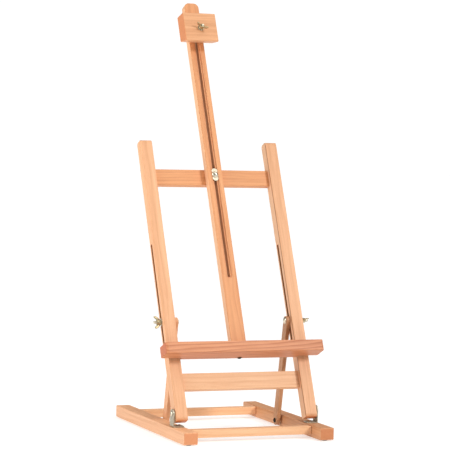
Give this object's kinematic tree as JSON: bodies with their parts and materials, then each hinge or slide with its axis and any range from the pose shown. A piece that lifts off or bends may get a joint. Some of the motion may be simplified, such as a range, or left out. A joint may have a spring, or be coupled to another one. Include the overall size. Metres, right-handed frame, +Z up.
{
  "type": "tabletop H-frame easel",
  "caption": "Wooden tabletop easel with a runner base, a folding slotted frame on struts, and a sliding mast that carries a tray and a clamp block, all fixed by wing nuts.",
  "frame": {"origin": "centre of the bounding box's bottom face, on the floor under the rubber feet", "axes": "+X to the right as seen from the front, +Y towards the back, +Z up"},
  "size_m": [0.336, 0.447, 0.8691],
  "materials": {
    "beech": "clear satin",
    "rosy_beech": "clear satin",
    "pale_beech": "clear satin",
    "zinc": "satin",
    "brass": "dull",
    "dark_steel": "dark satin",
    "rubber": "matt"
  },
  "bodies": {
    "base": {"left_runner": "beech", "right_runner": "beech", "front_cross_rail": "beech", "rear_cross_rail": "beech", "left_hinge_bracket": "zinc", "right_hinge_bracket": "zinc", "left_bracket_screw": "zinc", "right_bracket_screw": "zinc", "front_left_foot_pad": "rubber", "front_right_foot_pad": "rubber", "rear_left_foot_pad": "rubber", "rear_right_foot_pad": "rubber"},
    "hinge_screws": {"left_hinge_screw": "zinc", "right_hinge_screw": "zinc", "left_hinge_washer": "zinc", "right_hinge_washer": "zinc"},
    "back_frame": {"left_upright": "beech", "right_upright": "beech", "upper_crossbar": "rosy_beech", "lower_crossbar": "pale_beech", "mast_bolt": "zinc", "mast_bolt_plate": "zinc", "mast_nut_washer": "zinc"},
    "mast_and_tray": {"mast": "beech", "tray": "rosy_beech", "tray_screw": "dark_steel", "left_mast_dowel": "beech", "right_mast_dowel": "beech"},
    "clamp": {"clamp_block": "beech", "clamp_bolt": "zinc", "clamp_washer": "zinc"},
    "strut_pins": {"left_strut_pivot_screw": "dark_steel", "right_strut_pivot_screw": "dark_steel", "left_strut_spacer": "zinc", "right_strut_spacer": "zinc"},
    "struts": {"left_strut": "beech", "right_strut": "beech", "left_slot_bolt_head": "zinc", "right_slot_bolt_head": "zinc"},
    "slot_shanks": {"left_slot_shank": "zinc", "right_slot_shank": "zinc"},
    "slot_bolt_ends": {"left_slot_bolt_end": "zinc", "right_slot_bolt_end": "zinc", "left_slot_washer": "zinc", "right_slot_washer": "zinc"},
    "clamp_wing_nut": {"clamp_wing_nut": "brass"},
    "mast_wing_nut": {"mast_wing_nut": "brass"},
    "left_strut_wing_nut": {"left_strut_wing_nut": "brass"},
    "right_strut_wing_nut": {"right_strut_wing_nut": "brass"}
  },
  "joints": [
    {"name": "frame_tilt", "type": "hinge", "parent": "base", "child": "hinge_screws", "pos_m": [0, -0.14457, 0.0518], "axis": [-1, 0, 0], "range_deg": [-24.5, 0]},
    {"name": "frame_fold", "type": "hinge", "parent": "hinge_screws", "child": "back_frame", "pos_m": [0, -0.14457, 0.0518], "axis": [-1, 0, 0], "range_deg": [0, 65.5]},
    {"name": "strut_tilt", "type": "hinge", "parent": "base", "child": "strut_pins", "pos_m": [0, -0.02347, 0.014], "axis": [-1, 0, 0], "range_deg": [-22.96, 0]},
    {"name": "strut_fold", "type": "hinge", "parent": "strut_pins", "child": "struts", "pos_m": [0, -0.02347, 0.014], "axis": [-1, 0, 0], "range_deg": [0, 91.41]},
    {"name": "bolt_slide_fold", "type": "slide", "parent": "back_frame", "child": "slot_shanks", "axis": [0, 0.4147, 0.91], "range_m": [0, 0.1412]},
    {"name": "bolt_slide_tilt", "type": "slide", "parent": "slot_shanks", "child": "slot_bolt_ends", "axis": [0, 0.4147, 0.91], "range_m": [-0.0505, 0]},
    {"name": "mast_slide", "type": "slide", "parent": "back_frame", "child": "mast_and_tray", "axis": [0, 0.4147, 0.91], "range_m": [-0.09, 0.21]},
    {"name": "clamp_slide", "type": "slide", "parent": "mast_and_tray", "child": "clamp", "axis": [0, 0.4147, 0.91], "range_m": [-0.17, 0.02]},
    {"name": "clamp_nut_spin", "type": "hinge", "parent": "clamp", "child": "clamp_wing_nut", "pos_m": [0, 0.14552, 0.81689], "axis": [0, -0.91, 0.4147], "continuous": true},
    {"name": "mast_nut_spin", "type": "hinge", "parent": "back_frame", "child": "mast_wing_nut", "pos_m": [0, 0.07558, 0.5004], "axis": [0, 0.91, -0.4147], "continuous": true},
    {"name": "left_strut_nut_spin", "type": "hinge", "parent": "slot_bolt_ends", "child": "left_strut_wing_nut", "pos_m": [-0.1518, -0.06235, 0.22258], "axis": [-1, 0, 0], "continuous": true},
    {"name": "right_strut_nut_spin", "type": "hinge", "parent": "slot_bolt_ends", "child": "right_strut_wing_nut", "pos_m": [0.1518, -0.06235, 0.22258], "axis": [1, 0, 0], "continuous": true}
  ],
  "couplings": [
    {"joint": "strut_tilt", "follows": "frame_tilt", "ratio": 0.93635},
    {"joint": "strut_fold", "follows": "frame_fold", "ratio": 1.3953},
    {"joint": "bolt_slide_fold", "follows": "frame_fold", "m_per_rad": 0.12339},
    {"joint": "bolt_slide_tilt", "follows": "frame_tilt", "m_per_rad": 0.1178}
  ]
}
